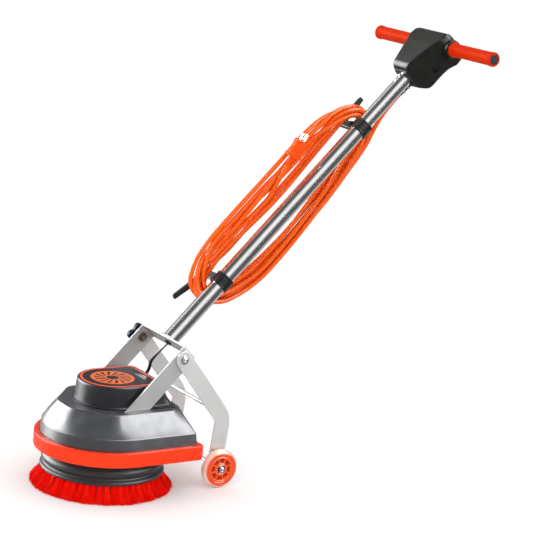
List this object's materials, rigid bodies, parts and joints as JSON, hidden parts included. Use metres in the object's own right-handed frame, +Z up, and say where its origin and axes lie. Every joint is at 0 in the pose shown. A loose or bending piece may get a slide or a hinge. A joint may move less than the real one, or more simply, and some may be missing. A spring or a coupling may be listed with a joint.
{
  "type": "rotary floor machine",
  "caption": "Walk-behind rotary floor machine: motor deck on a round brush, tilting handle with switch head, swinging transport wheels and wound power cord.",
  "frame": {"origin": "on the floor, under the middle of the machine's box, wound cord left out", "axes": "+Z up, +Y from the brush towards the operator, +X to the operator's left as they face the brush"},
  "size_m": [0.453, 1.0318, 1.0471],
  "materials": {
    "deck_plastic": "fine texture, satin",
    "black_plastic": "satin",
    "label_print": "printed, gloss",
    "bumper_orange": "gloss",
    "button_orange": "gloss",
    "grip_orange": "satin rubber",
    "cord_orange": "glossy PVC",
    "bristle_red": "nylon fibres",
    "bar_steel": "satin",
    "tube_steel": "polished",
    "plain_steel": "machined",
    "cast_metal": "as cast",
    "winding": "lacquered windings",
    "tyre_clear": "translucent urethane",
    "hub_orange": "gloss"
  },
  "bodies": {
    "deck": {"deck_shell": "deck_plastic", "bumper_band": "bumper_orange", "motor_cover": "deck_plastic", "cover_label": "label_print", "chassis_plate": "cast_metal", "motor_housing": "cast_metal", "stator_core": "winding", "run_capacitor": "black_plastic", "gearbox_housing": "cast_metal", "ring_gear": "plain_steel", "spindle_bearing": "plain_steel", "left_pivot_bracket": "plain_steel", "right_pivot_bracket": "plain_steel", "cable_gland": "black_plastic", "motor_cable": "black_plastic"},
    "rotor": {"motor_shaft": "plain_steel", "rotor_core": "plain_steel", "cooling_fan": "black_plastic"},
    "brush": {"planet_carrier": "plain_steel", "driver_plate": "cast_metal", "brush_block": "deck_plastic", "bristle_ring": "bristle_red", "spindle_bolt": "plain_steel"},
    "planet_1": {"planet_gear_1": "plain_steel"},
    "planet_2": {"planet_gear_2": "plain_steel"},
    "planet_3": {"planet_gear_3": "plain_steel"},
    "handle": {"yoke_bracket": "bar_steel", "lower_tube": "tube_steel", "upper_tube": "tube_steel", "lower_hook_clamp": "black_plastic", "lower_cord_hook": "black_plastic", "upper_hook_clamp": "black_plastic", "upper_cord_hook": "black_plastic", "head_front_shell": "black_plastic", "head_rear_shell": "black_plastic", "handlebar": "plain_steel", "left_grip": "grip_orange", "right_grip": "grip_orange", "switch_block": "black_plastic", "cable_grommet": "black_plastic", "left_pivot_bolt": "tube_steel", "clamp_nut": "plain_steel", "cord_strain_relief": "cord_orange", "power_cord": "cord_orange", "cord_hank": "cord_orange", "plug_body": "cord_orange", "plug_pins": "tube_steel"},
    "trigger": {"trigger_lever": "black_plastic"},
    "lock": {"lock_button": "button_orange"},
    "knob": {"clamp_knob": "black_plastic"},
    "wheel_frame": {"left_wheel_arm": "bar_steel", "right_wheel_arm": "bar_steel", "brace_rod": "bar_steel", "wheel_axle": "plain_steel"},
    "left_wheel": {"left_tyre": "tyre_clear", "left_wheel_hub": "hub_orange", "left_wheel_bearing": "plain_steel"},
    "right_wheel": {"right_tyre": "tyre_clear", "right_wheel_hub": "hub_orange", "right_wheel_bearing": "plain_steel"}
  },
  "joints": [
    {"name": "brush_spin", "type": "hinge", "parent": "deck", "child": "brush", "pos_m": [0, -0.35085, 0.06], "axis": [0, 0, 1], "continuous": true},
    {"name": "rotor_spin", "type": "hinge", "parent": "deck", "child": "rotor", "pos_m": [0, -0.35085, 0.15], "axis": [0, 0, 1], "continuous": true},
    {"name": "planet_1_spin", "type": "hinge", "parent": "brush", "child": "planet_1", "pos_m": [0.0225, -0.35085, 0.11375], "axis": [0, 0, 1], "continuous": true},
    {"name": "planet_2_spin", "type": "hinge", "parent": "brush", "child": "planet_2", "pos_m": [-0.01125, -0.33136, 0.11375], "axis": [0, 0, 1], "continuous": true},
    {"name": "planet_3_spin", "type": "hinge", "parent": "brush", "child": "planet_3", "pos_m": [-0.01125, -0.37034, 0.11375], "axis": [0, 0, 1], "continuous": true},
    {"name": "handle_recline", "type": "hinge", "parent": "deck", "child": "handle", "pos_m": [0, -0.35085, 0.168], "axis": [1, 0, 0], "range_deg": [-20, 44.4], "deforming": ["motor_cable"]},
    {"name": "wheel_swing", "type": "hinge", "parent": "handle", "child": "wheel_frame", "pos_m": [0, -0.21512, 0.30661], "axis": [1, 0, 0], "range_deg": [0, 60]},
    {"name": "left_wheel_spin", "type": "hinge", "parent": "wheel_frame", "child": "left_wheel", "pos_m": [0.12, -0.10985, 0.045], "axis": [1, 0, 0], "continuous": true},
    {"name": "right_wheel_spin", "type": "hinge", "parent": "wheel_frame", "child": "right_wheel", "pos_m": [-0.12, -0.10985, 0.045], "axis": [1, 0, 0], "continuous": true},
    {"name": "knob_turn", "type": "hinge", "parent": "handle", "child": "knob", "pos_m": [-0.11, -0.21512, 0.30661], "axis": [1, 0, 0], "range_deg": [0, 360]},
    {"name": "trigger_pull", "type": "hinge", "parent": "handle", "child": "trigger", "pos_m": [0, 0.48729, 0.96242], "axis": [1, 0, 0], "range_deg": [-7, 0], "stiffness_Nm_per_rad": 0.6, "springref_deg": 5.73},
    {"name": "lock_button_press", "type": "slide", "parent": "handle", "child": "lock", "axis": [0, -0.6997, -0.7145], "range_m": [0, 0.004], "stiffness_N_per_m": 300, "springref_m": -0.002}
  ],
  "couplings": [
    {"joint": "rotor_spin", "follows": "brush_spin", "ratio": 6.6667},
    {"joint": "planet_1_spin", "follows": "brush_spin", "ratio": -2.4286},
    {"joint": "planet_2_spin", "follows": "brush_spin", "ratio": -2.4286},
    {"joint": "planet_3_spin", "follows": "brush_spin", "ratio": -2.4286}
  ]
}
